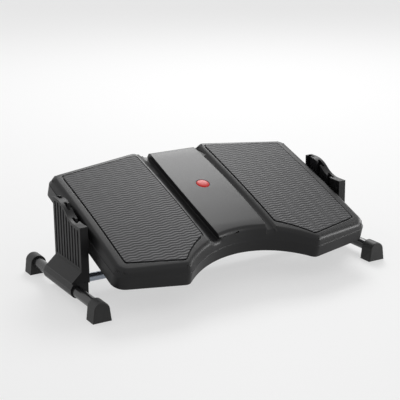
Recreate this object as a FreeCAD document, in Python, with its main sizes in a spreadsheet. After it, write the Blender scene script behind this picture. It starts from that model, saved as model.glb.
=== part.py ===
import FreeCAD, Part
import math
import os
import re

import Sketcher

# Tilting under desk footrest: two steel tubes on four rubber feet carry a pair of
# moulded uprights, and a rod across the platform rests in one of three seats a side.
# Millimetres. X runs across the footrest, Y from the user's heels to the desk's back
# and Z up. The origin is on the floor, in the middle of the stand.

Vector = FreeCAD.Vector
os.makedirs("parts", exist_ok=True)
doc = FreeCAD.newDocument("Footrest")
sheet = doc.addObject("Spreadsheet::Sheet", "Sizes")

# Driving dimensions
sizes = {
    # stand
    "overall_width": 500.0,
    "stand_length": 246.8,
    "stand_offset": 2.4,
    "tube_diameter": 16.0,
    "tube_wall": 1.2,
    "tube_height": 18.0,
    "cap_width": 28.4,
    "cap_shoulder_width": 24.0,
    "cap_height": 29.0,
    "cap_depth": 22.7,
    "cap_edge": 1.5,
    "socket_depth": 16.0,
    "slip_fit": 0.05,
    "bar_diameter": 12.7,
    "bar_height": 19.0,
    "bar_seat": 8.2,
    # uprights
    "upright_inset": 32.0,
    "upright_length": 92.0,
    "cradle_thickness": 7.6,
    "cover_thickness": 4.5,
    "upright_low": 112.6,
    "upright_high": 135.6,
    "wave_front": 30.0,
    "wave_back": 34.0,
    "foot_flare": 10.0,
    "lip_reach": 15.5,
    "lip_edge": 2.0,
    "lip_rise": 14.0,
    "lip_gap": 1.5,
    "flute_width": 5.0,
    "flute_depth": 0.9,
    "flute_pitch": 9.5,
    "flute_count": 9.0,
    # saddles that grip the tubes
    "saddle_wall": 2.0,
    "saddle_top": 30.0,
    "saddle_front": 41.0,
    "saddle_back": 57.0,
    # seats for the rod
    "seat_clearance": 0.3,
    "seat_pitch": 27.0,
    "seat_step": 9.5,
    "seat_count": 3.0,
    # tilting platform, in its own level frame about the rod's axis
    "pivot_setback": 16.4,
    "pivot_height": 89.3,
    "tilt_at_rest": 19.3,
    "platform_width": 427.0,
    "platform_base": 12.5,
    "parting_level": 6.5,
    "parting_step": 1.3,
    "skirt_draft": 1.5,
    "rim_draft": 17.0,
    "rim_top": 36.0,
    "wall": 3.0,
    "horn_x": 107.0,
    "horn_front": 132.6,
    "outer_front": 112.6,
    "outer_back": 136.5,
    "wing_back_x": 62.0,
    "wing_back": 159.0,
    "notch_x": 40.0,
    "notch_back": 148.5,
    "front_arc": 152.0,
    "horn_round": 12.0,
    "front_round": 20.0,
    "back_round": 16.0,
    "notch_round": 10.0,
    "crown_radius": 2600.0,
    "crown_centre": 30.0,
    "valley_level": 21.5,
    "wing_level": 26.9,
    "wing_edge_level": 20.0,
    "valley_half": 45.0,
    "blend_length": 17.0,
    "saddle_half": 38.5,
    "saddle_bow": 4.5,
    "saddle_level": 29.8,
    "rim_round": 3.0,
    "panel_round": 1.6,
    # foot pads
    "pad_inner_x": 62.0,
    "pad_outer_x": 193.8,
    "pad_back": 142.5,
    "pad_outer_back": 124.2,
    "pad_outer_front": 95.3,
    "pad_horn_x": 109.6,
    "pad_horn_front": 116.5,
    "pad_inner_front": 76.4,
    "pad_arc": 161.3,
    "pad_round": 4.0,
    "pad_gap": 1.3,
    "recess_depth": 1.2,
    "pad_proud": 1.0,
    "pad_bed": 0.15,
    # cap in the middle of the platform
    "badge_diameter": 21.0,
    "badge_back": 36.0,
    "badge_thickness": 2.6,
    "badge_recess": 1.8,
    "peg_diameter": 5.0,
    "peg_length": 5.0,
    # ribs, rod and its fittings
    "rib_thickness": 2.2,
    "rib_pitch": 86.0,
    "rib_base": 9.0,
    "rib_columns": 2.0,
    "rib_rows": 2.0,
    "rib_row_back": 84.0,
    "rib_row_pitch": 140.0,
    "cheek_setback": 5.6,
    "cheek_depth": 3.0,
    "cheek_diameter": 18.0,
    "boss_setback": 14.0,
    "bracket_grip": 6.0,
    "running_fit": 0.08,
    "far_below": 60.0,
    "rod_diameter": 8.0,
    "rod_clearance": 1.0,
    "end_diameter": 14.0,
    "end_thickness": 3.5,
    "end_gap": 0.15,
    "bush_wall": 1.6,
    "bush_flange": 15.4,
    "bush_flange_thickness": 1.2,
    "bracket_sheet": 2.0,
    "bracket_length": 36.0,
    "bracket_reach": 24.0,
    "bracket_top": 10.0,
    "bracket_drop": 9.0,
    "washer_thickness": 1.2,
    "clip_thickness": 1.0,
    "clip_depth": 0.8,
    "boss_diameter": 8.5,
    "boss_spacing": 22.0,
    # fasteners
    "screw_diameter": 3.6,
    "screw_head": 6.6,
    "screw_head_height": 2.2,
    "screw_fit": 0.1,
    "neck_depth": 3.4,
    "end_edge": 0.5,
    "end_screw_length": 12.0,
    "clip_radius": 6.5,
    "clip_sweep": 300.0,
    "washer_radius": 7.0,
    "flare_start": 4.0,
    "flute_border": 5.0,
    "screw_row": 38.0,
    "front_screw_height": 100.0,
    "low_screw_height": 48.0,
    "middle_screw_row": 12.0,
    "middle_screw_height": 72.0,
    "cover_bite": 3.3,
    "saddle_screw_row": 30.0,
    "saddle_screw_depth": 10.0,
    "saddle_sink": 12.0,
    "saddle_shoulder": 4.0,
    "saddle_radius_top": 5.2,
    "saddle_dip": 0.65,
    "bar_sink": 11.3,
    "bar_screw_length": 4.5,
}

for row, (alias, number) in enumerate(sizes.items(), start=1):
    sheet.set(f"A{row}", alias)
    sheet.set(f"B{row}", str(number))
    sheet.setAlias(f"B{row}", alias)
probe = doc.addObject("Spreadsheet::Sheet", "Probe")
doc.recompute()


def bound(text):
    """An expression on the sheet's cells, from the plain size names in the text."""
    def qualify(match):
        word = match.group()
        return f"Sizes.{word}" if word in sizes else word
    return re.sub(r"[a-z_][a-z_0-9]*", qualify, str(text))


def value(text):
    """The present number of an expression."""
    probe.set("A1", "=" + bound(text))
    probe.recompute()
    return float(probe.get("A1"))


def tie(item, **properties):
    """Bind properties of an object to expressions; a double underscore is a dot."""
    for name, text in properties.items():
        item.setExpression(name.replace("__", "."), bound(text))


def new_body(name):
    body = doc.addObject("PartDesign::Body", name)
    body.Label = name
    return body


def draw(body, name, plane, points, height="0"):
    """A closed outline on one of the body's own planes, every corner held by two distances.

    A point is (x, y), or (x, y, radius, turn) where an arc leads on to the next point;
    turn is 1 where the arc's centre is on the left of the way and -1 where it is right."""
    sketch = body.newObject("Sketcher::SketchObject", name)
    support = [part for part in body.Origin.OriginFeatures if part.Role == plane][0]
    sketch.AttachmentSupport = [(support, "")]
    sketch.MapMode = "FlatFace"
    sketch.setExpression("AttachmentOffset.Base.z", bound(height))
    spots = [Vector(value(point[0]), value(point[1]), 0) for point in points]
    heads = []
    tails = []
    radii = []
    for index, point in enumerate(points):
        start = spots[index]
        end = spots[(index + 1) % len(spots)]
        if len(point) == 2:
            edge = sketch.addGeometry(Part.LineSegment(start, end))
            heads.append((edge, 1))
            tails.append((edge, 2))
            continue
        radius = value(point[2])
        turn = point[3]
        chord = end - start
        across = Vector(-chord.y, chord.x, 0).normalize() * turn
        centre = start + chord * 0.5 + across * math.sqrt(radius ** 2 - chord.Length ** 2 / 4)
        circle = Part.Circle(centre, Vector(0, 0, 1), radius)
        first, last = (start, end) if turn > 0 else (end, start)
        arc = Part.ArcOfCircle(circle, circle.parameter(first), circle.parameter(last))
        edge = sketch.addGeometry(arc)
        heads.append((edge, 1 if turn > 0 else 2))
        tails.append((edge, 2 if turn > 0 else 1))
        radii.append((edge, point[2]))
    for index, tail in enumerate(tails):
        sketch.addConstraint(Sketcher.Constraint("Coincident", *tail, *heads[(index + 1) % len(heads)]))
    for index, head in enumerate(heads):
        for kind, text, number in (
            ("DistanceX", points[index][0], spots[index].x),
            ("DistanceY", points[index][1], spots[index].y),
        ):
            place = sketch.addConstraint(Sketcher.Constraint(kind, -1, 1, *head, number))
            sketch.setExpression(f"Constraints[{place}]", bound(text))
    for edge, text in radii:
        place = sketch.addConstraint(Sketcher.Constraint("Radius", edge, value(text)))
        sketch.setExpression(f"Constraints[{place}]", bound(text))
    return sketch


def disc(body, name, plane, x, y, radius, height="0"):
    """A circle on one of the body's own planes."""
    sketch = body.newObject("Sketcher::SketchObject", name)
    support = [part for part in body.Origin.OriginFeatures if part.Role == plane][0]
    sketch.AttachmentSupport = [(support, "")]
    sketch.MapMode = "FlatFace"
    sketch.setExpression("AttachmentOffset.Base.z", bound(height))
    circle = Part.Circle(Vector(value(x), value(y), 0), Vector(0, 0, 1), value(radius))
    edge = sketch.addGeometry(circle)
    for constraint, text in (
        (Sketcher.Constraint("DistanceX", -1, 1, edge, 3, value(x)), x),
        (Sketcher.Constraint("DistanceY", -1, 1, edge, 3, value(y)), y),
        (Sketcher.Constraint("Radius", edge, value(radius)), radius),
    ):
        place = sketch.addConstraint(constraint)
        sketch.setExpression(f"Constraints[{place}]", bound(text))
    return sketch


def pad(body, sketch, length, taper="0", backwards=False):
    feature = body.newObject("PartDesign::Pad", "Pad")
    feature.Profile = sketch
    feature.Reversed = backwards
    tie(feature, Length=length, TaperAngle=taper)
    return feature


def pocket(body, sketch, length, backwards=False):
    """A cut along the sketch's normal, or against it when backwards; it has to remove something."""
    before = body.Tip.Shape.Volume if body.Tip.Shape.Volume else 0
    feature = body.newObject("PartDesign::Pocket", "Pocket")
    feature.Profile = sketch
    feature.Reversed = not backwards
    tie(feature, Length=length)
    doc.recompute()
    if feature.Shape.Volume >= before:
        raise RuntimeError(f"{body.Label}: a pocket removes nothing")
    return feature


def revolve(body, sketch, axis="X_Axis", angle="360"):
    feature = body.newObject("PartDesign::Revolution", "Revolution")
    feature.Profile = sketch
    line = [part for part in body.Origin.OriginFeatures if part.Role == axis][0]
    feature.ReferenceAxis = (line, [""])
    feature.Midplane = angle != "360"
    tie(feature, Angle=angle)
    return feature


def upright_edges(shape, corners, reach):
    """Names of the edges that rise from the given corners of an outline."""
    names = []
    for index, edge in enumerate(shape.Edges, start=1):
        if len(edge.Vertexes) < 2:
            continue
        low, high = sorted((vertex.Point for vertex in edge.Vertexes), key=lambda spot: spot.z)
        if high.z - low.z < 1:
            continue
        if any(math.hypot(low.x - x, low.y - y) < reach for x, y in corners):
            names.append(f"Edge{index}")
    return names


def round_corners(body, corners, radius, reach=8.0):
    """Round the rising edges at both mirrored places of each corner."""
    doc.recompute()
    base = body.Tip
    spots = [(value(x), value(y)) for x, y in corners]
    spots += [(-x, y) for x, y in spots]
    feature = body.newObject("PartDesign::Fillet", "Round")
    feature.Base = (base, upright_edges(base.Shape, spots, reach))
    tie(feature, Radius=radius)
    doc.recompute()
    return feature


def joined(kind, name, *members):
    """A Part boolean: Cut and Common take two members, MultiFuse any number."""
    feature = doc.addObject(f"Part::{kind}", name)
    if kind in ("MultiFuse", "MultiCommon"):
        feature.Shapes = list(members)
    else:
        feature.Base, feature.Tool = members
    feature.Refine = True
    feature.Label = name
    doc.recompute()
    return feature


def mirrored(source, name, normal=Vector(1, 0, 0)):
    feature = doc.addObject("Part::Mirroring", name)
    feature.Source = source
    feature.Normal = normal
    feature.Label = name
    doc.recompute()
    return feature


def on_platform(item):
    """Carry a piece from the platform's level frame to the tilted one about the rod."""
    item.Placement = FreeCAD.Placement(Vector(0, 0, 0), FreeCAD.Rotation(Vector(1, 0, 0), 1))
    tie(item, Placement__Base__y="stand_offset - pivot_setback", Placement__Base__z="pivot_height",
        Placement__Rotation__Angle="tilt_at_rest")
    return item


def on_rod(item):
    """Carry a turned piece to the rod's axis."""
    tie(item, Placement__Base__y="stand_offset - pivot_setback", Placement__Base__z="pivot_height")
    return item


def on_stand(item):
    """Carry a piece of the stand to where the stand's middle is."""
    tie(item, Placement__Base__y="stand_offset")
    return item


pieces = []

# Places that several pieces share
tube_x = "(overall_width / 2 - cap_width / 2)"
cradle_x = "(overall_width / 2 - upright_inset)"
cover_x = f"({cradle_x} + cradle_thickness)"
cap_inner_y = "(stand_length / 2 - cap_depth)"
bracket_x = "(platform_width / 2 - cheek_setback)"
bush_radius = "(rod_diameter / 2 + running_fit + bush_wall)"


# Platform: outline, crown and raised middle
def platform_block(name, inset):
    """The platform's prismatic form, or the space inside its wall when the outline is inset."""
    body = new_body(name)
    half = f"(platform_width / 2 - {inset})"
    corners = [
        ("horn_x", f"-(horn_front - {inset})", f"horn_round - {inset}"),
        (half, f"-(outer_front - {inset})", f"front_round - {inset}"),
        (half, f"(outer_back - {inset})", f"back_round - {inset}"),
        ("wing_back_x", f"(wing_back - {inset})", f"notch_round - {inset}"),
        ("notch_x", f"(notch_back - {inset})", f"notch_round + {inset}"),
    ]
    for step, level, length, draft in (
        ("0", "-platform_base", "platform_base + parting_level", "skirt_draft"),
        ("parting_step", "parting_level", "rim_top - parting_level", "rim_draft"),
    ):
        right = []
        for x, y, radius in corners:
            sign = "+" if y.startswith("-") else "-"
            right.append((f"({x} - {step})" if x == half else x, f"({y} {sign} {step})"))
        left = [(f"-{x}", y) for x, y in reversed(right)]
        left[-1] = (*left[-1], f"(front_arc + {inset} + {step})", -1)
        pad(body, draw(body, f"{name}_layer", "XY_Plane", right + left, level), length, f"-{draft}")
    for x, y, radius in corners:
        round_corners(body, [(x, y)], radius)
    return body


def crowned(name, profile):
    """A profile across the platform, swept front to back about the crown's far centre."""
    body = new_body(name)
    raised = [(point[0], f"({point[1]} + crown_radius)", *point[2:]) for point in profile]
    revolve(body, draw(body, f"{name}_profile", "XZ_Plane", raised), angle="12")
    tie(body, Placement__Base__y="crown_centre", Placement__Base__z="-crown_radius")
    return body


def wing_profile(low, high):
    """Across the wings: a valley in the middle, a soft rise, then a fall to each side."""
    blend_radius = "(blend_length ^ 2 / 4 + (wing_level - valley_level) ^ 2 / 4) / (wing_level - valley_level)"
    right = [
        ("valley_half", f"(valley_level + {high})", blend_radius, 1),
        ("(valley_half + blend_length / 2)", f"((valley_level + wing_level) / 2 + {high})", blend_radius, -1),
        ("(valley_half + blend_length)", f"(wing_level + {high})"),
        ("(platform_width / 2 + 4)", f"(wing_edge_level + {high})"),
        ("(platform_width / 2 + 4)", f"({low})"),
    ]
    left = [
        ("-(platform_width / 2 + 4)", f"({low})"),
        ("-(platform_width / 2 + 4)", f"(wing_edge_level + {high})"),
        ("-(valley_half + blend_length)", f"(wing_level + {high})", blend_radius, -1),
        ("-(valley_half + blend_length / 2)", f"((valley_level + wing_level) / 2 + {high})", blend_radius, 1),
        ("-valley_half", f"(valley_level + {high})"),
    ]
    return right + left


def bowed_panel(name, inset):
    """The raised middle's plan: long sides that bow outward between the platform's two ends."""
    body = new_body(name)
    half = f"(saddle_half - {inset})"
    bow = "((horn_front + wing_back) ^ 2 / 4 + saddle_bow ^ 2) / (2 * saddle_bow)"
    outline = [
        (half, "-horn_front", bow, 1),
        (half, "wing_back"),
        (f"-{half}", "wing_back", bow, 1),
        (f"-{half}", "-horn_front"),
    ]
    pad(body, draw(body, f"{name}_plan", "XY_Plane", outline), "rim_top")
    return body


def panel_profile(high):
    """Across the raised middle: level, and wide enough for its plan."""
    edge = "valley_half"
    top = f"(saddle_level + {high})"
    return [(edge, "-far_below"), (edge, top), (f"-{edge}", top), (f"-{edge}", "-far_below")]


def moulding(name, inset, sink):
    """Wings and raised middle as one solid, its surface sunk below the outside by a wall."""
    prism = platform_block(f"{name}_prism", inset)
    crown = crowned(f"{name}_wing_crown", wing_profile("-far_below", sink))
    wings = joined("Common", f"{name}_wings", prism, crown)
    plan = bowed_panel(f"{name}_panel_plan", inset)
    peak = crowned(f"{name}_panel_crown", panel_profile(sink))
    middle = joined("MultiCommon", f"{name}_panel", prism, plan, peak)
    return joined("MultiFuse", name, wings, middle)


def cylinder(name, radius, length, x, y, z, along="Z"):
    """A round bar from a point along one axis."""
    item = doc.addObject("Part::Cylinder", name)
    turns = {"X": (Vector(0, 1, 0), 90), "Y": (Vector(1, 0, 0), -90), "Z": (Vector(0, 0, 1), 0)}
    item.Placement = FreeCAD.Placement(Vector(0, 0, 0), FreeCAD.Rotation(*turns[along]))
    tie(item, Radius=radius, Height=length, Placement__Base__x=x, Placement__Base__y=y, Placement__Base__z=z)
    return item


def block(name, length, width, height, x, y, z):
    """A box from its lowest corner."""
    item = doc.addObject("Part::Box", name)
    tie(item, Length=length, Width=width, Height=height)
    tie(item, Placement__Base__x=x, Placement__Base__y=y, Placement__Base__z=z)
    return item


def screw(name, x, y, z, length, facing, head="screw_head / 2"):
    """A screw with its head's seat at a point and the head facing along one axis."""
    body = new_body(name)
    shank = "screw_diameter / 2"
    outline = [
        ("0", "-" + length),
        (shank, "-" + length),
        (shank, "0"),
        (head, "0"),
        (head, "screw_head_height"),
        ("0", "screw_head_height"),
    ]
    revolve(body, draw(body, f"{name}_profile", "XZ_Plane", outline), "Z_Axis")
    turns = {"-X": (Vector(0, 1, 0), -90), "X": (Vector(0, 1, 0), 90), "-Z": (Vector(1, 0, 0), 180)}
    body.Placement = FreeCAD.Placement(Vector(0, 0, 0), FreeCAD.Rotation(*turns[facing]))
    tie(body, Placement__Base__x=x, Placement__Base__y=y, Placement__Base__z=z)
    return body


def turned(name, outline, angle="360"):
    """A ring or a bar turned about the rod's axis."""
    body = new_body(name)
    revolve(body, draw(body, f"{name}_profile", "XZ_Plane", outline), angle=angle)
    return body


def keep(item, name):
    """Enter a finished piece under its own name."""
    item.Label = name
    pieces.append(item)
    return item


def both_sides(item, name):
    """Enter the right-hand piece and its mirror image on the left."""
    keep(item, f"right_{name}")
    keep(mirrored(item, f"left_{name}"), f"left_{name}")


# Platform shell
outer_form = moulding("outer", "0", "0")
hollow = moulding("hollow", "wall", "-wall")


def pad_outline(name, grow):
    """A foot pad's plan on the right wing, as a prism."""
    body = new_body(name)
    corners = [
        (f"(pad_outer_x + {grow})", f"-(pad_outer_front + {grow})"),
        (f"(pad_outer_x + {grow})", f"(pad_outer_back + {grow})"),
        (f"(pad_inner_x - {grow})", f"(pad_back + {grow})"),
        (f"(pad_inner_x - {grow})", f"-(pad_inner_front + {grow})", f"(pad_arc - {grow})", -1),
        ("pad_horn_x", f"-(pad_horn_front + {grow})"),
    ]
    pad(body, draw(body, f"{name}_plan", "XY_Plane", corners), "rim_top")
    round_corners(body, [corner[:2] for corner in corners], f"pad_round + {grow}", 1.0)
    return body


def wing_band(name, low, high):
    """A layer that follows the right wing's surface between two heights above it."""
    reach = "(platform_width / 2 + 4)"
    fall = f"(wing_level - wing_edge_level) * blend_length / ({reach} - valley_half - blend_length)"
    return crowned(name, [
        ("valley_half", f"(wing_level + {fall} + {low})"),
        (reach, f"(wing_edge_level + {low})"),
        (reach, f"(wing_edge_level + {high})"),
        ("valley_half", f"(wing_level + {fall} + {high})"),
    ])


recess = joined("Common", "right_recess", pad_outline("recess_plan", "pad_gap"),
                wing_band("recess_band", "-recess_depth", "rim_top"))
bosses = []
for index, row in enumerate(("-boss_spacing / 2", "boss_spacing / 2")):
    for sign in ("", "-"):
        where = f"{sign}({bracket_x} - boss_setback)"
        bosses.append(cylinder(f"boss_{index}{sign}", "boss_diameter / 2", "rim_top", where, row, "bracket_top"))
ribs = []
for index in range(int(sizes["rib_columns"])):
    for sign in (1, -1):
        where = f"({sign} * rib_pitch * ({index} + 0.5) - rib_thickness / 2)"
        ribs.append(block(f"rib_{index}_{sign}", "rib_thickness", "2 * wing_back", "rim_top + rib_base",
                          where, "-wing_back", "-rib_base"))
for index in range(int(sizes["rib_rows"])):
    where = f"(rib_row_back - {index} * rib_row_pitch)"
    ribs.append(block(f"cross_rib_{index}", "platform_width", "rib_thickness", "rim_top + rib_base",
                      "-platform_width / 2", where, "-rib_base"))
stiffening = joined("Common", "stiffening", joined("MultiFuse", "rib_grid", *ribs, *bosses), hollow)
skin = joined("Cut", "skin", outer_form, hollow)
cheeks = []
for sign in ("", "-"):
    start = bracket_x if sign == "" else f"-({bracket_x} + cheek_depth)"
    cheeks.append(cylinder(f"cheek{sign}", "cheek_diameter / 2", "cheek_depth", start, "0", "0", "X"))
filled = joined("MultiFuse", "filled", skin, stiffening, *cheeks)
bush_bore = cylinder("bush_bore", f"{bush_radius} + slip_fit", "platform_width + 2", "-platform_width / 2 - 1", "0", "0", "X")
cap_seat = cylinder("cap_seat", "badge_diameter / 2 + screw_fit", "rim_top", "0", "badge_back",
                    "saddle_level - badge_recess")
peg_hole = cylinder("peg_hole", "peg_diameter / 2 + slip_fit", "rim_top", "0", "badge_back", "0")
pilots = []
for index, row in enumerate(("-boss_spacing / 2", "boss_spacing / 2")):
    for sign in ("", "-"):
        where = f"{sign}({bracket_x} - boss_setback)"
        pilots.append(cylinder(f"pilot_{index}{sign}", "screw_diameter / 2 + screw_fit", "bracket_grip + 0.4", where, row, "bracket_top"))
removed = joined("MultiFuse", "removed", recess, mirrored(recess, "left_recess"), bush_bore, cap_seat, peg_hole, *pilots)
shell = joined("Cut", "platform_shell", filled, removed)
keep(on_platform(shell), "platform_shell")


# Foot pads and the cap in the middle
right_pad = joined("Common", "right_pad_form", pad_outline("pad_plan", "0"),
                   wing_band("pad_band", "pad_bed - recess_depth", "pad_proud"))
both_sides(on_platform(right_pad), "foot_pad")

centre_cap = new_body("centre_cap")
cap_level = "saddle_level - badge_recess"
pad(centre_cap, disc(centre_cap, "cap_disc", "XY_Plane", "0", "badge_back", "badge_diameter / 2", cap_level),
    "badge_thickness")
pad(centre_cap, disc(centre_cap, "peg_disc", "XY_Plane", "0", "badge_back", "peg_diameter / 2", cap_level),
    "peg_length", backwards=True)
keep(on_platform(centre_cap), "centre_cap")


# Rod, its ends and what holds it in the platform
rod = "rod_diameter / 2"
rod_tip = f"({cradle_x} + neck_depth + end_gap)"
clip_inner = f"({bracket_x} - bracket_sheet - washer_thickness - 3 * end_gap - clip_thickness)"
clip_outer = f"({clip_inner} + clip_thickness + end_gap)"
groove = f"({rod} - clip_depth)"
drill = "(screw_diameter / 2 + screw_fit)"
deep = f"({rod_tip} - end_screw_length - 1)"
right_half = [
    (clip_inner, rod), (clip_inner, groove), (clip_outer, groove), (clip_outer, rod),
    (rod_tip, rod), (rod_tip, drill), (deep, drill), (deep, "0"),
]
left_half = [(f"-{x}", z) for x, z in reversed(right_half)]
keep(on_rod(turned("pivot_rod", left_half + right_half)), "pivot_rod")

end_face = f"({rod_tip} + end_thickness)"
head_seat = f"({end_face} - screw_head_height)"
head_bore = "(screw_head / 2 + screw_fit)"
both_sides(on_rod(turned("rod_end", [
    (rod_tip, drill), (head_seat, drill), (head_seat, head_bore), (end_face, head_bore),
    (end_face, "end_diameter / 2 - end_edge"), (f"({end_face} - end_edge)", "end_diameter / 2"),
    (rod_tip, "end_diameter / 2"),
])), "rod_end")
end_screw = screw("end_screw", head_seat, "stand_offset - pivot_setback", "pivot_height", "end_screw_length", "X")
keep(joined("MultiFuse", "rod_end_screws", end_screw, mirrored(end_screw, "left_end_screw")), "rod_end_screws")

both_sides(on_rod(turned("rod_clip", [
    (f"({clip_inner} + end_gap / 2)", f"({groove} + slip_fit)"),
    (f"({clip_inner} + end_gap / 2 + clip_thickness)", f"({groove} + slip_fit)"),
    (f"({clip_inner} + end_gap / 2 + clip_thickness)", "clip_radius"),
    (f"({clip_inner} + end_gap / 2)", "clip_radius"),
], angle="clip_sweep")), "rod_clip")
washer_x = f"({bracket_x} - bracket_sheet - end_gap - washer_thickness)"
both_sides(on_rod(turned("spring_washer", [
    (washer_x, f"{rod} + running_fit"), (f"({washer_x} + washer_thickness)", f"{rod} + running_fit"),
    (f"({washer_x} + washer_thickness)", "washer_radius"), (washer_x, "washer_radius"),
])), "spring_washer")

bush_start = f"({bracket_x} - bracket_sheet)"
flange_end = "(platform_width / 2 + bush_flange_thickness)"
both_sides(on_platform(turned("pivot_bush", [
    (bush_start, f"{rod} + running_fit"), (flange_end, f"{rod} + running_fit"),
    (flange_end, "bush_flange / 2"), ("platform_width / 2", "bush_flange / 2"),
    ("platform_width / 2", bush_radius), (bush_start, bush_radius),
])), "pivot_bush")

bracket = new_body("pivot_bracket")
pad(bracket, draw(bracket, "bracket_profile", "XZ_Plane", [
    (f"({bracket_x} - bracket_reach)", "bracket_top - bracket_sheet"),
    (f"({bracket_x} - bracket_sheet)", "bracket_top - bracket_sheet"),
    (f"({bracket_x} - bracket_sheet)", "-bracket_drop"),
    (bracket_x, "-bracket_drop"),
    (bracket_x, "bracket_top"),
    (f"({bracket_x} - bracket_reach)", "bracket_top"),
], "-bracket_length / 2"), "bracket_length")
doc.recompute()
pocket(bracket, disc(bracket, "bush_hole", "YZ_Plane", "0", "0", f"{bush_radius} + slip_fit", bush_start),
       "bracket_sheet")
for index, row in enumerate(("-boss_spacing / 2", "boss_spacing / 2")):
    pocket(bracket, disc(bracket, f"screw_hole_{index}", "XY_Plane", f"{bracket_x} - boss_setback", row, drill,
                         "bracket_top - bracket_sheet"), "bracket_sheet")
both_sides(on_platform(bracket), "pivot_bracket")
bracket_screws = []
for index, row in enumerate(("-boss_spacing / 2", "boss_spacing / 2")):
    for sign in ("", "-"):
        where = f"{sign}({bracket_x} - boss_setback)"
        bracket_screws.append(screw(f"bracket_screw_{index}{sign}", where, row, "bracket_top - bracket_sheet",
                                    "(bracket_grip + bracket_sheet)", "-Z"))
keep(on_platform(joined("MultiFuse", "bracket_screws", *bracket_screws)), "bracket_screws")


# Uprights
def upright_outline(bottom, drop):
    """An upright from the side; its top waves up from the low front seat to the high back one."""
    half = "upright_length / 2"
    rise = "(upright_high - upright_low)"
    run = "(wave_front + wave_back)"
    wave = f"({run} ^ 2 + {rise} ^ 2) / (4 * {rise})"
    return [
        (f"-({half})", bottom),
        (f"({half} + foot_flare)", bottom),
        (f"({half} + foot_flare)", "saddle_top + flare_start", "foot_flare", -1),
        (half, "saddle_top + flare_start + foot_flare"),
        (half, f"upright_high - {drop}"),
        ("wave_back", f"upright_high - {drop}", wave, 1),
        ("(wave_back - wave_front) / 2", f"(upright_high + upright_low) / 2 - {drop}", wave, -1),
        ("-wave_front", f"upright_low - {drop}"),
        (f"-({half})", f"upright_low - {drop}"),
    ]


screw_spots = [
    ("-screw_row", "front_screw_height"),
    ("-screw_row + 2", "low_screw_height"),
    ("screw_row - 2", "low_screw_height"),
    ("middle_screw_row", "middle_screw_height"),
]
cradle = new_body("upright_cradle")
pad(cradle, draw(cradle, "cradle_outline", "YZ_Plane", upright_outline("saddle_top", "0"), cradle_x),
    "cradle_thickness")
doc.recompute()
for index in range(int(sizes["seat_count"])):
    row = f"({index} * seat_pitch - pivot_setback)"
    rest = f"(pivot_height + {index} * seat_step)"
    for part, radius, start, length in (
        ("neck", f"({rod} + seat_clearance)", cradle_x, "neck_depth"),
        ("pocket", "(end_diameter / 2 + seat_clearance)", f"{cradle_x} + neck_depth", "cradle_thickness - neck_depth"),
    ):
        slot = [
            (f"{row} - {radius}", rest, radius, 1),
            (row, f"{rest} - {radius}", radius, 1),
            (f"{row} + {radius}", rest),
            (f"{row} + {radius}", "upright_high + 1"),
            (f"{row} - {radius}", "upright_high + 1"),
        ]
        pocket(cradle, draw(cradle, f"{part}_{index}", "YZ_Plane", slot, start), length)
for index, (row, height) in enumerate(screw_spots):
    pocket(cradle, disc(cradle, f"bore_{index}", "YZ_Plane", row, height, drill, cradle_x), "cradle_thickness")
    pocket(cradle, disc(cradle, f"sink_{index}", "YZ_Plane", row, height, head_bore, cradle_x), "screw_head_height")
saddle_screw_x = f"({cradle_x} + cradle_thickness / 2)"
for index, row in enumerate(("-saddle_screw_row", "saddle_screw_row")):
    pocket(cradle, disc(cradle, f"foot_bore_{index}", "XY_Plane", saddle_screw_x, row, drill, "saddle_top"),
           "saddle_screw_depth")
both_sides(on_stand(cradle), "upright_cradle")

cover_face = f"({cover_x} + cover_thickness)"
plate = new_body("cover_plate")
lip_level = "(saddle_top + lip_gap)"
pad(plate, draw(plate, "cover_outline", "YZ_Plane", upright_outline(lip_level, "0"), cover_x), "cover_thickness")
pad(plate, draw(plate, "lip_profile", "XZ_Plane", [
    (cover_x, lip_level),
    (f"({cover_face} + lip_reach)", lip_level),
    (f"({cover_face} + lip_reach)", f"{lip_level} + lip_edge"),
    (cover_face, f"{lip_level} + lip_edge + lip_rise"),
    (cover_x, f"{lip_level} + lip_edge + lip_rise"),
], "-upright_length / 2"), "upright_length")
doc.recompute()
for index, (row, height) in enumerate(screw_spots):
    pocket(plate, disc(plate, f"pilot_{index}", "YZ_Plane", row, height, drill, cover_x), "cover_bite + 0.4")
field = new_body("flute_field")
flute_floor = f"{cover_face} - flute_depth"
pad(field, draw(field, "field_outline", "YZ_Plane",
                upright_outline(f"{lip_level} + lip_edge + lip_rise + flute_border", "flute_border"), flute_floor),
    "flute_depth + 1")
flutes = []
for index in range(int(sizes["flute_count"])):
    row = f"({index} - (flute_count - 1) / 2) * flute_pitch - flute_width / 2"
    flutes.append(block(f"flute_{index}", "flute_depth + 1", "flute_width", "upright_high", flute_floor, row, "0"))
fluting = joined("Common", "fluting", field, joined("MultiFuse", "flute_comb", *flutes))
both_sides(on_stand(joined("Cut", "upright_cover", plate, fluting)), "upright_cover")

seat_face = f"({cradle_x} + screw_head_height)"
grip = "(cradle_thickness - screw_head_height + cover_bite)"
upright_screws = [
    screw(f"upright_screw_{index}", seat_face, row, height, grip, "-X")
    for index, (row, height) in enumerate(screw_spots)
]
screw_set = on_stand(joined("MultiFuse", "right_upright_screws", *upright_screws))
keep(joined("MultiFuse", "upright_screws", screw_set, mirrored(screw_set, "left_upright_screws")), "upright_screws")


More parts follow.
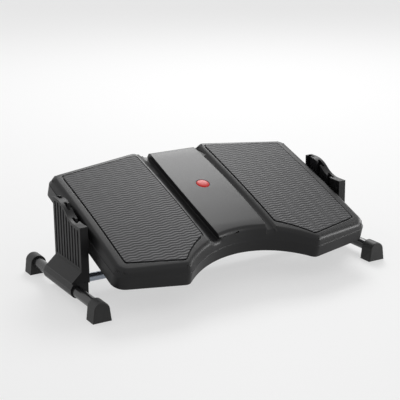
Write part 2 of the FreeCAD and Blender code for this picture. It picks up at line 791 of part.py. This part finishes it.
# Saddles round the foot tubes
saddle = new_body("tube_saddle")
saddle_radius = "(tube_diameter / 2 + saddle_wall)"
pad(saddle, draw(saddle, "saddle_profile", "XZ_Plane", [
    (cradle_x, "tube_height - bar_diameter / 2 - saddle_wall - saddle_dip"),
    (tube_x, f"tube_height - {saddle_radius}", saddle_radius, 1),
    (f"({tube_x} + {saddle_radius})", "tube_height"),
    (f"({tube_x} + {saddle_radius})", "tube_height + saddle_shoulder"),
    (f"({tube_x} + saddle_radius_top)", "saddle_top"),
    (cradle_x, "saddle_top"),
], "-saddle_back"), "saddle_front + saddle_back")
doc.recompute()
pocket(saddle, disc(saddle, "tube_bore", "XZ_Plane", tube_x, "tube_height", "tube_diameter / 2 + slip_fit",
                    "-saddle_back"), "saddle_front + saddle_back")
pocket(saddle, disc(saddle, "bar_bore", "YZ_Plane", "0", "bar_height", "bar_diameter / 2 + slip_fit", cradle_x),
       "bar_seat")
for name, row, sink in (("front", "-saddle_screw_row", "saddle_sink"), ("back", "saddle_screw_row", "saddle_sink"),
                        ("bar", "0", "bar_sink")):
    pocket(saddle, disc(saddle, f"{name}_head", "XY_Plane", saddle_screw_x, row, head_bore, "0"), sink)
    reach = "saddle_top" if name != "bar" else "bar_height"
    pocket(saddle, disc(saddle, f"{name}_bore", "XY_Plane", saddle_screw_x, row, drill, "0"), reach)
both_sides(on_stand(saddle), "tube_saddle")
saddle_screws = []
for name, row in (("front", "-saddle_screw_row"), ("back", "saddle_screw_row")):
    saddle_screws.append(screw(f"{name}_saddle_screw", saddle_screw_x, row, "saddle_sink",
                               "(saddle_top - saddle_sink + saddle_screw_depth - 1)", "-Z"))
saddle_set = on_stand(joined("MultiFuse", "right_saddle_screws", *saddle_screws))
keep(joined("MultiFuse", "saddle_screws", saddle_set, mirrored(saddle_set, "left_saddle_screws")), "saddle_screws")
bar_screw = screw("bar_screw", saddle_screw_x, "stand_offset", "bar_sink", "bar_screw_length", "-Z")
keep(joined("MultiFuse", "cross_bar_screws", bar_screw, mirrored(bar_screw, "left_bar_screw")), "cross_bar_screws")


# Tubes and foot caps
tube_reach = f"({cap_inner_y} + socket_depth)"
tube_skin = cylinder("tube_skin", "tube_diameter / 2", f"2 * {tube_reach}", tube_x, f"-{tube_reach}", "tube_height", "Y")
tube_core = cylinder("tube_core", "tube_diameter / 2 - tube_wall", f"2 * {tube_reach}", tube_x, f"-{tube_reach}",
                     "tube_height", "Y")
both_sides(on_stand(joined("Cut", "foot_tube", tube_skin, tube_core)), "foot_tube")

bar_reach = f"({cradle_x} + bar_seat - end_gap)"
bar_skin = cylinder("bar_skin", "bar_diameter / 2", f"2 * {bar_reach}", f"-{bar_reach}", "0", "bar_height", "X")
bar_core = cylinder("bar_core", "bar_diameter / 2 - tube_wall", f"2 * {bar_reach}", f"-{bar_reach}", "0", "bar_height", "X")
bar_holes = [
    cylinder(f"bar_hole{sign}", drill, "bar_height", f"{sign}{saddle_screw_x}", "0", "0") for sign in ("", "-")
]
bar_hollow = joined("MultiFuse", "bar_hollow", bar_core, *bar_holes)
keep(on_stand(joined("Cut", "cross_bar", bar_skin, bar_hollow)), "cross_bar")

cap = new_body("foot_cap")
arch = "(cap_shoulder_width / 2)"
pad(cap, draw(cap, "cap_arch", "XZ_Plane", [
    (f"({tube_x} - cap_width / 2)", "0"),
    (f"({tube_x} + cap_width / 2)", "0"),
    (f"({tube_x} + {arch})", f"cap_height - {arch}", arch, 1),
    (tube_x, "cap_height", arch, 1),
    (f"({tube_x} - {arch})", f"cap_height - {arch}"),
], cap_inner_y), "cap_depth")
doc.recompute()
block_shape = cap.Tip.Shape
front = -sizes["stand_length"] / 2
rim_names = [
    f"Edge{n}" for n, edge in enumerate(block_shape.Edges, start=1)
    if abs(edge.CenterOfMass.y - front) < 0.01
]
base = cap.Tip
edge_round = cap.newObject("PartDesign::Fillet", "Edge")
edge_round.Base = (base, rim_names)
tie(edge_round, Radius="cap_edge")
doc.recompute()
pocket(cap, disc(cap, "socket", "XZ_Plane", tube_x, "tube_height", "tube_diameter / 2 + slip_fit", cap_inner_y),
       "socket_depth")
on_stand(cap)
far_cap = mirrored(cap, "far_cap", Vector(0, 1, 0))
tie(far_cap, Base__y="stand_offset")
keep(cap, "front_right_foot_cap")
keep(mirrored(cap, "front_left_foot_cap"), "front_left_foot_cap")
keep(far_cap, "rear_right_foot_cap")
keep(mirrored(far_cap, "rear_left_foot_cap"), "rear_left_foot_cap")


# Check every feature, then write one file per piece
doc.removeObject("Probe")
doc.recompute()
for item in doc.Objects:
    if "Invalid" in item.State:
        raise RuntimeError(f"{item.Label} did not build: {item.getStatusString()}")
for item in pieces:
    if item.Shape.isNull() or not item.Shape.isValid():
        raise RuntimeError(f"{item.Label} has no valid shape")
for item in pieces:
    item.Shape.exportStep(f"parts/{item.Label}.step")
print(f"{len(pieces)} pieces written")
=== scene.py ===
import bpy
import bmesh
import math
from mathutils import Matrix, Vector


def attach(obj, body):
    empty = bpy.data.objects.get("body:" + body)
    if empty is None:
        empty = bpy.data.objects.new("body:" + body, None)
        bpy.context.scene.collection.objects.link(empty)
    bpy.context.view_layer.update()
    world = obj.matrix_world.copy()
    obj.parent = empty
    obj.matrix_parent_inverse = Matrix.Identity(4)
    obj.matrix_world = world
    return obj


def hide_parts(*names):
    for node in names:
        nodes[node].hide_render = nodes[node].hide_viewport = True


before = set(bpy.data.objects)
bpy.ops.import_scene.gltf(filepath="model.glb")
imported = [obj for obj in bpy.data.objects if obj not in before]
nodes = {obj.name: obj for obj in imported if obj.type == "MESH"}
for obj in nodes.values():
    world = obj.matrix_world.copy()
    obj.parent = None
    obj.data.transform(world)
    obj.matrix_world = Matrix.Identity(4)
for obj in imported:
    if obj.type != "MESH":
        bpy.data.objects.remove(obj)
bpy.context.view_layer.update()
print("frame loaded", len(nodes), "nodes")

# Where the platform turns: the rod's axis, and the slope it is stored at
pivot = {"y": -0.0140, "z": 0.0893, "tilt": 19.3}
pivotSpot = Matrix.Translation((0, pivot["y"], pivot["z"]))
slopeMatrix = pivotSpot @ Matrix.Rotation(math.radians(pivot["tilt"]), 4, "X")


# Materials: every pattern is made from Object coordinates, in metres
def newMaterial(name, color, roughness, metallic=0.0):
    material = bpy.data.materials.new(name)
    material.use_nodes = True
    tree = material.node_tree
    shader = tree.nodes["Principled BSDF"]
    shader.inputs["Base Color"].default_value = (*color, 1)
    shader.inputs["Roughness"].default_value = roughness
    shader.inputs["Metallic"].default_value = metallic
    place = tree.nodes.new("ShaderNodeTexCoord")
    return material, tree, shader, place


def addNoise(tree, place, scale, detail=3.0, stretch=(1, 1, 1)):
    mapping = tree.nodes.new("ShaderNodeMapping")
    mapping.inputs["Scale"].default_value = stretch
    tree.links.new(place.outputs["Object"], mapping.inputs["Vector"])
    noise = tree.nodes.new("ShaderNodeTexNoise")
    noise.inputs["Scale"].default_value = scale
    noise.inputs["Detail"].default_value = detail
    tree.links.new(mapping.outputs["Vector"], noise.inputs["Vector"])
    return noise


def spread(tree, source, low, high, start=0.3, end=0.7):
    ramp = tree.nodes.new("ShaderNodeMapRange")
    ramp.inputs["From Min"].default_value = start
    ramp.inputs["From Max"].default_value = end
    ramp.inputs["To Min"].default_value = low
    ramp.inputs["To Max"].default_value = high
    tree.links.new(source, ramp.inputs["Value"])
    return ramp.outputs["Result"]


def tint(tree, source, first, second, start=0.3, end=0.7):
    ramp = tree.nodes.new("ShaderNodeValToRGB")
    ramp.color_ramp.elements[0].position = start
    ramp.color_ramp.elements[0].color = (*first, 1)
    ramp.color_ramp.elements[1].position = end
    ramp.color_ramp.elements[1].color = (*second, 1)
    tree.links.new(source, ramp.inputs["Fac"])
    return ramp.outputs["Color"]


bevelSamples = 6


# Grain in the surface's normal, and with softEdge, in metres, sharp edges that catch the light as rounded ones
def addBump(tree, shader, source, distance, strength=1.0, softEdge=0.0):
    bump = tree.nodes.new("ShaderNodeBump")
    if softEdge:
        bevel = tree.nodes.new("ShaderNodeBevel")
        bevel.samples = bevelSamples
        bevel.inputs["Radius"].default_value = softEdge
        tree.links.new(bevel.outputs["Normal"], bump.inputs["Normal"])
    bump.inputs["Distance"].default_value = distance
    bump.inputs["Strength"].default_value = strength
    tree.links.new(source, bump.inputs["Height"])
    tree.links.new(bump.outputs["Normal"], shader.inputs["Normal"])


plasticLook = {
    "cloudScale": 22.0, "cloudDetail": 4.0, "poreDetail": 2.0, "brighter": 1.22,
    "smoother": 0.05, "rougher": 0.07, "bump": 0.55,
}


def mouldedPlastic(name, color, roughness, grain=2600.0, grainDepth=0.00006, coat=0.0, softEdge=0.0,
                   gloss=0.3):
    look = plasticLook
    material, tree, shader, place = newMaterial(name, color, roughness)
    cloud = addNoise(tree, place, look["cloudScale"], look["cloudDetail"])
    pores = addNoise(tree, place, grain, look["poreDetail"])
    brighter = tuple(c * look["brighter"] for c in color)
    tree.links.new(tint(tree, cloud.outputs["Fac"], color, brighter), shader.inputs["Base Color"])
    sheen = spread(tree, pores.outputs["Fac"], roughness - look["smoother"], roughness + look["rougher"])
    tree.links.new(sheen, shader.inputs["Roughness"])
    addBump(tree, shader, pores.outputs["Fac"], grainDepth, look["bump"], softEdge)
    shader.inputs["Coat Weight"].default_value = coat
    shader.inputs["Specular IOR Level"].default_value = gloss
    return material


metalLook = {
    "lineScale": 900.0, "lineDetail": 3.0, "duller": 0.82,
    "smoother": 0.06, "rougher": 0.1, "lineDepth": 0.00002, "bump": 0.5,
}


def drawnMetal(name, color, roughness, stretch):
    look = metalLook
    material, tree, shader, place = newMaterial(name, color, roughness, 1.0)
    lines = addNoise(tree, place, look["lineScale"], look["lineDetail"], stretch)
    duller = tuple(c * look["duller"] for c in color)
    tree.links.new(tint(tree, lines.outputs["Fac"], duller, color), shader.inputs["Base Color"])
    sheen = spread(tree, lines.outputs["Fac"], roughness - look["smoother"], roughness + look["rougher"])
    tree.links.new(sheen, shader.inputs["Roughness"])
    addBump(tree, shader, lines.outputs["Fac"], look["lineDepth"], look["bump"])
    return material


rubberLook = {
    "dustScale": 60.0, "dustDetail": 5.0, "poreDetail": 2.0, "dustGain": 1.35, "dustLift": 0.004,
    "dustStart": 0.4, "dustEnd": 0.75, "bump": 0.6, "gloss": 0.35,
}


def mattRubber(name, color, roughness, grain, grainDepth):
    look = rubberLook
    material, tree, shader, place = newMaterial(name, color, roughness)
    dust = addNoise(tree, place, look["dustScale"], look["dustDetail"])
    pores = addNoise(tree, place, grain, look["poreDetail"])
    dusty = tuple(c * look["dustGain"] + look["dustLift"] for c in color)
    dusted = tint(tree, dust.outputs["Fac"], color, dusty, look["dustStart"], look["dustEnd"])
    tree.links.new(dusted, shader.inputs["Base Color"])
    addBump(tree, shader, pores.outputs["Fac"], grainDepth, look["bump"])
    shader.inputs["Specular IOR Level"].default_value = look["gloss"]
    return material


platformPlastic = mouldedPlastic("platformPlastic", (0.0065, 0.0065, 0.007), 0.38,
                                 softEdge=0.0015, gloss=0.28)
uprightPlastic = mouldedPlastic("uprightPlastic", (0.006, 0.006, 0.0065), 0.40, gloss=0.2)
saddlePlastic = mouldedPlastic("saddlePlastic", (0.007, 0.007, 0.0075), 0.36, gloss=0.24)
padRubber = mattRubber("padRubber", (0.019, 0.019, 0.021), 0.52, 1800.0, 0.00005)
footRubber = mattRubber("footRubber", (0.007, 0.007, 0.007), 0.50, 1500.0, 0.00008)
tubePaint = mouldedPlastic("tubePaint", (0.014, 0.014, 0.015), 0.30, 1400.0, 0.00003, 0.25)
barSteel = drawnMetal("barSteel", (0.30, 0.33, 0.38), 0.34, (0.02, 1, 1))
rodSteel = drawnMetal("rodSteel", (0.55, 0.55, 0.57), 0.26, (0.02, 1, 1))
zincPlate = drawnMetal("zincPlate", (0.58, 0.59, 0.60), 0.34, (1, 1, 0.08))
blackScrew = drawnMetal("blackScrew", (0.06, 0.06, 0.065), 0.42, (1, 1, 1))
bushNylon = mouldedPlastic("bushNylon", (0.62, 0.61, 0.56), 0.42, 1200.0, 0.00002)
capRed = mouldedPlastic("capRed", (0.60, 0.012, 0.009), 0.34, 500.0, 0.00002, gloss=0.25)

finish = {
    "platform_shell": platformPlastic,
    "pivot_rod": rodSteel,
    "left_rod_end": zincPlate,
    "right_rod_end": zincPlate,
    "left_rod_clip": zincPlate,
    "right_rod_clip": zincPlate,
    "left_spring_washer": zincPlate,
    "right_spring_washer": zincPlate,
    "left_pivot_bush": bushNylon,
    "right_pivot_bush": bushNylon,
    "left_pivot_bracket": zincPlate,
    "right_pivot_bracket": zincPlate,
    "left_upright_cradle": uprightPlastic,
    "right_upright_cradle": uprightPlastic,
    "left_upright_cover": uprightPlastic,
    "right_upright_cover": uprightPlastic,
    "left_tube_saddle": saddlePlastic,
    "right_tube_saddle": saddlePlastic,
    "left_foot_tube": tubePaint,
    "right_foot_tube": tubePaint,
    "front_left_foot_cap": footRubber,
    "front_right_foot_cap": footRubber,
    "rear_left_foot_cap": footRubber,
    "rear_right_foot_cap": footRubber,
    "cross_bar": barSteel,
    "left_foot_pad": padRubber,
    "right_foot_pad": padRubber,
    "centre_cap": capRed,
}
for nodeName, node in nodes.items():
    material = finish.get(nodeName, blackScrew)
    node.data.materials.clear()
    node.data.materials.append(material)
print("materials ready")


mergeDistance = 1e-6


# Turns a finished bmesh into a piece that rides on a body; edges past smoothAngle degrees stay sharp
def finishPiece(bm, name, material, body, smoothAngle=35):
    bmesh.ops.remove_doubles(bm, verts=bm.verts, dist=mergeDistance)
    bmesh.ops.recalc_face_normals(bm, faces=bm.faces)
    mesh = bpy.data.meshes.new(name)
    bm.to_mesh(mesh)
    bm.free()
    piece = bpy.data.objects.new(name, mesh)
    bpy.context.scene.collection.objects.link(piece)
    mesh.materials.append(material)
    limit = math.cos(math.radians(smoothAngle))
    for polygon in mesh.polygons:
        polygon.use_smooth = True
    bm = bmesh.new()
    bm.from_mesh(mesh)
    for edge in bm.edges:
        if len(edge.link_faces) == 2:
            edge.smooth = edge.link_faces[0].normal.dot(edge.link_faces[1].normal) > limit
    bm.to_mesh(mesh)
    bm.free()
    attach(piece, body)
    return piece


# Platform skin: the CAD shell with the upper edges of its leaning rim rounded
# Sizes and levels are in metres, measured square to the platform with its slope taken out
skinSizes = {
    "browRadius": 0.0055, "browSteps": 6, "partingLevel": 0.0068,
    "topSlope": 0.85, "bandLow": 0.2, "bandHigh": 0.45, "flatAngle": 0.4, "smoothAngle": 30,
}


def makeSkin():
    s = skinSizes
    bm = bmesh.new()
    bm.from_mesh(nodes["platform_shell"].data)
    bmesh.ops.remove_doubles(bm, verts=bm.verts, dist=mergeDistance)
    bmesh.ops.transform(bm, matrix=slopeMatrix.inverted(), verts=bm.verts)
    bmesh.ops.dissolve_limit(bm, angle_limit=math.radians(s["flatAngle"]), verts=bm.verts, edges=bm.edges)
    bm.normal_update()
    brow = []
    for edge in bm.edges:
        if len(edge.link_faces) != 2:
            continue
        levels = sorted(face.normal.z for face in edge.link_faces)
        middle = (edge.verts[0].co.z + edge.verts[1].co.z) / 2
        leans = s["bandLow"] < levels[0] < s["bandHigh"]
        if levels[1] > s["topSlope"] and leans and middle > s["partingLevel"]:
            brow.append(edge)
    print("brow edges", len(brow))
    bmesh.ops.bevel(bm, geom=brow, offset=s["browRadius"], offset_type="OFFSET",
                    segments=s["browSteps"], profile=0.5, affect="EDGES", material=-1, clamp_overlap=False)
    bmesh.ops.triangulate(bm, faces=[face for face in bm.faces if len(face.verts) > 4])
    bmesh.ops.transform(bm, matrix=slopeMatrix, verts=bm.verts)
    skin = finishPiece(bm, "platformSkin", platformPlastic, "platform",
                       s["smoothAngle"])
    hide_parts("platform_shell")


makeSkin()
print("platform skin ready")


# Foot pads: a ridged slab for each wing, cut to the pad's outline
padSizes = {
    "innerX": 0.0627, "outerX": 0.1931, "back": 0.1418, "outerBack": 0.1235,
    "outerFront": 0.0946, "hornX": 0.1096, "hornFront": 0.1157, "innerFront": 0.0757,
    "arcRadius": 0.1613, "cornerRadius": 0.004, "arcSteps": 14,
    "levelAtInner": 0.0269, "levelFall": 0.04437, "crownRadius": 2.6, "crownCentre": 0.030,
    "proud": 0.0010, "sunk": 0.00105,
    "ridgePitch": 0.0052, "ridgeHeight": 0.00045, "waveLength": 0.0170, "waveDepth": 0.0010,
    "ridgeShape": 0.7, "stepX": 0.0022, "stepY": 0.00065, "margin": 0.01, "cornerSteps": 5,
    "cutterBase": -0.01, "cutterHeight": 0.06, "smoothAngle": 60,
}


# Height of the crowned wing at x, and u up the slope
def wingLevel(x, u):
    s = padSizes
    rise = s["levelAtInner"] - (abs(x) - s["innerX"]) * s["levelFall"]
    return math.sqrt((s["crownRadius"] + rise) ** 2 - (u - s["crownCentre"]) ** 2) - s["crownRadius"]


def padOutline():
    s = padSizes
    innerFront = Vector((s["innerX"], -s["innerFront"]))
    horn = Vector((s["hornX"], -s["hornFront"]))
    chord = horn - innerFront
    middle = (horn + innerFront) / 2
    away = Vector((chord.y, -chord.x)).normalized()
    centre = middle + away * math.sqrt(s["arcRadius"] ** 2 - chord.length_squared / 4)
    startAngle = math.atan2(innerFront.y - centre.y, innerFront.x - centre.x)
    endAngle = math.atan2(horn.y - centre.y, horn.x - centre.x)
    points = [Vector((s["outerX"], -s["outerFront"])), Vector((s["outerX"], s["outerBack"])),
              Vector((s["innerX"], s["back"]))]
    for step in range(s["arcSteps"] + 1):
        angle = startAngle + (endAngle - startAngle) * step / s["arcSteps"]
        points.append(centre + Vector((math.cos(angle), math.sin(angle))) * s["arcRadius"])
    return points


def ridge(x, u):
    s = padSizes
    swing = s["waveDepth"] * math.sin(2 * math.pi * abs(x) / s["waveLength"])
    phase = (u + swing) / s["ridgePitch"]
    return s["ridgeHeight"] * (0.5 + 0.5 * math.cos(2 * math.pi * phase)) ** s["ridgeShape"]


def newVerts(made):
    return [item for item in made["geom"] if isinstance(item, bmesh.types.BMVert)]


def asObject(bm, name):
    bmesh.ops.recalc_face_normals(bm, faces=bm.faces)
    mesh = bpy.data.meshes.new(name)
    bm.to_mesh(mesh)
    bm.free()
    made = bpy.data.objects.new(name, mesh)
    bpy.context.scene.collection.objects.link(made)
    return made


def ridgedSlab():
    s = padSizes
    width = s["outerX"] - s["innerX"] + s["margin"]
    length = s["back"] + s["hornFront"] + s["margin"]
    middle = ((s["outerX"] + s["innerX"]) / 2, (s["back"] - s["hornFront"]) / 2, 0)
    bm = bmesh.new()
    bmesh.ops.create_grid(bm, x_segments=round(width / s["stepX"]), y_segments=round(length / s["stepY"]),
                          size=0.5)
    bmesh.ops.scale(bm, vec=(width, length, 1), verts=bm.verts)
    bmesh.ops.translate(bm, vec=middle, verts=bm.verts)
    for vert in bm.verts[:]:
        x, u = vert.co.x, vert.co.y
        vert.co.z = wingLevel(x, u) + s["proud"] - s["ridgeHeight"] + ridge(x, u)
    for vert in newVerts(bmesh.ops.extrude_face_region(bm, geom=bm.faces[:])):
        vert.co.z = wingLevel(vert.co.x, vert.co.y) - s["sunk"]
    return asObject(bm, "slab")


def outlinePrism():
    s = padSizes
    bm = bmesh.new()
    corners = [bm.verts.new((point.x, point.y, s["cutterBase"])) for point in padOutline()]
    bm.faces.new(corners)
    bm.normal_update()
    bmesh.ops.bevel(bm, geom=corners[:4] + corners[-1:], offset=s["cornerRadius"], segments=s["cornerSteps"],
                    profile=0.5, affect="VERTICES", material=-1)
    top = newVerts(bmesh.ops.extrude_face_region(bm, geom=bm.faces[:]))
    bmesh.ops.translate(bm, vec=(0, 0, s["cutterHeight"]), verts=top)
    return asObject(bm, "cutter")


def makePad(side):
    slab = ridgedSlab()
    cutter = outlinePrism()
    boolean = slab.modifiers.new("outline", "BOOLEAN")
    boolean.operation = "INTERSECT"
    boolean.solver = "EXACT"
    boolean.object = cutter
    bpy.context.view_layer.update()
    evaluated = slab.evaluated_get(bpy.context.evaluated_depsgraph_get())
    bm = bmesh.new()
    bm.from_mesh(bpy.data.meshes.new_from_object(evaluated))
    bpy.data.objects.remove(slab)
    bpy.data.objects.remove(cutter)
    if side < 0:
        bmesh.ops.scale(bm, vec=(-1, 1, 1), verts=bm.verts)
    bmesh.ops.transform(bm, matrix=slopeMatrix, verts=bm.verts)
    word = "left" if side < 0 else "right"
    pad = finishPiece(bm, word + "PadMat", padRubber, "platform", padSizes["smoothAngle"])
    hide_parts(word + "_foot_pad")


for side in (-1, 1):
    makePad(side)
print("foot pads ready")


# Red cap in the middle of the platform: a low dome on a peg, spun from its outline
capSizes = {
    "back": 0.036, "floor": 0.0280, "steps": 64, "smoothAngle": 50,
    "profile": [(0.0, 0.00300), (0.0030, 0.00294), (0.0060, 0.00275), (0.0082, 0.00245),
                (0.0095, 0.00205), (0.0102, 0.00150), (0.01045, 0.00085), (0.01045, 0.0)],
    "pegRadius": 0.0024, "pegLength": 0.0048,
}


def makeCap():
    s = capSizes
    peg = [(s["pegRadius"], 0.0), (s["pegRadius"], -s["pegLength"]), (0.0, -s["pegLength"])]
    outline = s["profile"] + peg
    bm = bmesh.new()
    points = [bm.verts.new((radius, 0, height)) for radius, height in outline]
    edges = [bm.edges.new((points[i], points[i + 1])) for i in range(len(points) - 1)]
    bmesh.ops.spin(bm, geom=points + edges, cent=(0, 0, 0), axis=(0, 0, 1), angle=2 * math.pi,
                   steps=s["steps"], use_merge=True)
    bmesh.ops.translate(bm, vec=(0, s["back"], s["floor"]), verts=bm.verts)
    bmesh.ops.transform(bm, matrix=slopeMatrix, verts=bm.verts)
    cap = finishPiece(bm, "centreCapDome", capRed, "platform", s["smoothAngle"])
    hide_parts("centre_cap")


makeCap()
print("cap ready")


# Floor, light and camera
# One for camera, glossy and transmission rays, nought for the light that falls on the object
def seenRays(tree):
    lightPath = tree.nodes.new("ShaderNodeLightPath")
    total = lightPath.outputs["Is Camera Ray"]
    for ray in ("Is Glossy Ray", "Is Transmission Ray"):
        more = tree.nodes.new("ShaderNodeMath")
        more.operation = "MAXIMUM"
        tree.links.new(total, more.inputs[0])
        tree.links.new(lightPath.outputs[ray], more.inputs[1])
        total = more.outputs["Value"]
    return total


floorSizes = {"half": 6.0, "color": (0.84, 0.84, 0.84), "roughness": 0.55, "glow": 0.55}
bm = bmesh.new()
bmesh.ops.create_grid(bm, x_segments=1, y_segments=1, size=floorSizes["half"])
floorMesh = bpy.data.meshes.new("floor")
bm.to_mesh(floorMesh)
bm.free()
floor = bpy.data.objects.new("floor", floorMesh)
bpy.context.scene.collection.objects.link(floor)
floorMaterial, tree, shader, place = newMaterial("floorPaint", floorSizes["color"], floorSizes["roughness"])
seen = seenRays(tree)
share = tree.nodes.new("ShaderNodeMath")
share.operation = "MULTIPLY"
share.inputs[1].default_value = floorSizes["glow"]
tree.links.new(seen, share.inputs[0])
glow = tree.nodes.new("ShaderNodeEmission")
blend = tree.nodes.new("ShaderNodeMixShader")
tree.links.new(share.outputs["Value"], blend.inputs["Fac"])
tree.links.new(shader.outputs["BSDF"], blend.inputs[1])
tree.links.new(glow.outputs["Emission"], blend.inputs[2])
tree.links.new(blend.outputs["Shader"], tree.nodes["Material Output"].inputs["Surface"])
floorMesh.materials.append(floorMaterial)
print("floor ready")

# The world's level on the object, and the white that is seen
worldLevels = {"light": 0.55, "seen": 1.0}
world = bpy.data.worlds.new("studio")
bpy.context.scene.world = world
world.use_nodes = True
tree = world.node_tree
background = tree.nodes["Background"]
seen = seenRays(tree)
strength = tree.nodes.new("ShaderNodeMapRange")
strength.inputs["To Min"].default_value = worldLevels["light"]
strength.inputs["To Max"].default_value = worldLevels["seen"]
tree.links.new(seen, strength.inputs["Value"])
tree.links.new(strength.outputs["Result"], background.inputs["Strength"])
background.inputs["Color"].default_value = (1, 1, 1, 1)

# Where each lamp is, where it looks, its side and its power; a sheen lamp makes highlights and nothing else
softboxes = {
    "keySoftbox": {"spot": (1.08, 1.49, 1.64), "aim": (0, 0, 0.08), "size": 0.9, "power": 24, "sheen": False},
    "rimSoftbox": {"spot": (1.05, -0.80, 0.22), "aim": (0.15, -0.10, 0.06), "size": 0.4, "power": 9,
                   "sheen": True},
    "sideSoftbox": {"spot": (1.25, 0.10, 0.34), "aim": (-0.05, -0.10, 0.06), "size": 0.6, "power": 5,
                    "sheen": True},
}
for name, s in softboxes.items():
    lamp = bpy.data.lights.new(name, "AREA")
    lamp.shape = "SQUARE"
    lamp.size = s["size"]
    lamp.energy = s["power"]
    softbox = bpy.data.objects.new(name, lamp)
    softbox.location = s["spot"]
    softbox.rotation_euler = (Vector(s["aim"]) - Vector(s["spot"])).to_track_quat("-Z", "Y").to_euler()
    softbox.visible_diffuse = not s["sheen"]
    bpy.context.scene.collection.objects.link(softbox)
print("lights ready")

# The photograph's view: front left and a little above
cameraSizes = {
    "spot": (-0.8293, -1.4111, 0.5980), "azimuth": -30.10, "elevation": 16.74,
    "roll": -0.60, "lens": 101.18, "sensor": 36.0, "farEnd": 50,
}
azimuth = math.radians(cameraSizes["azimuth"])
elevation = math.radians(cameraSizes["elevation"])
roll = math.radians(cameraSizes["roll"])
level = math.cos(elevation)
back = Vector((math.sin(azimuth) * level, -math.cos(azimuth) * level, math.sin(elevation)))
right = Vector((math.cos(azimuth), math.sin(azimuth), 0))
up = back.cross(right)
rolledRight = right * math.cos(roll) + up * math.sin(roll)
rolledUp = up * math.cos(roll) - right * math.sin(roll)
lens = bpy.data.cameras.new("camera")
lens.lens = cameraSizes["lens"]
lens.sensor_width = cameraSizes["sensor"]
lens.clip_end = cameraSizes["farEnd"]
camera = bpy.data.objects.new("camera", lens)
turn = Matrix((rolledRight, rolledUp, back)).transposed()
camera.matrix_world = Matrix.Translation(cameraSizes["spot"]) @ turn.to_4x4()
bpy.context.scene.collection.objects.link(camera)
bpy.context.scene.camera = camera
bpy.context.scene.view_settings.view_transform = "Standard"
print("stage ready")
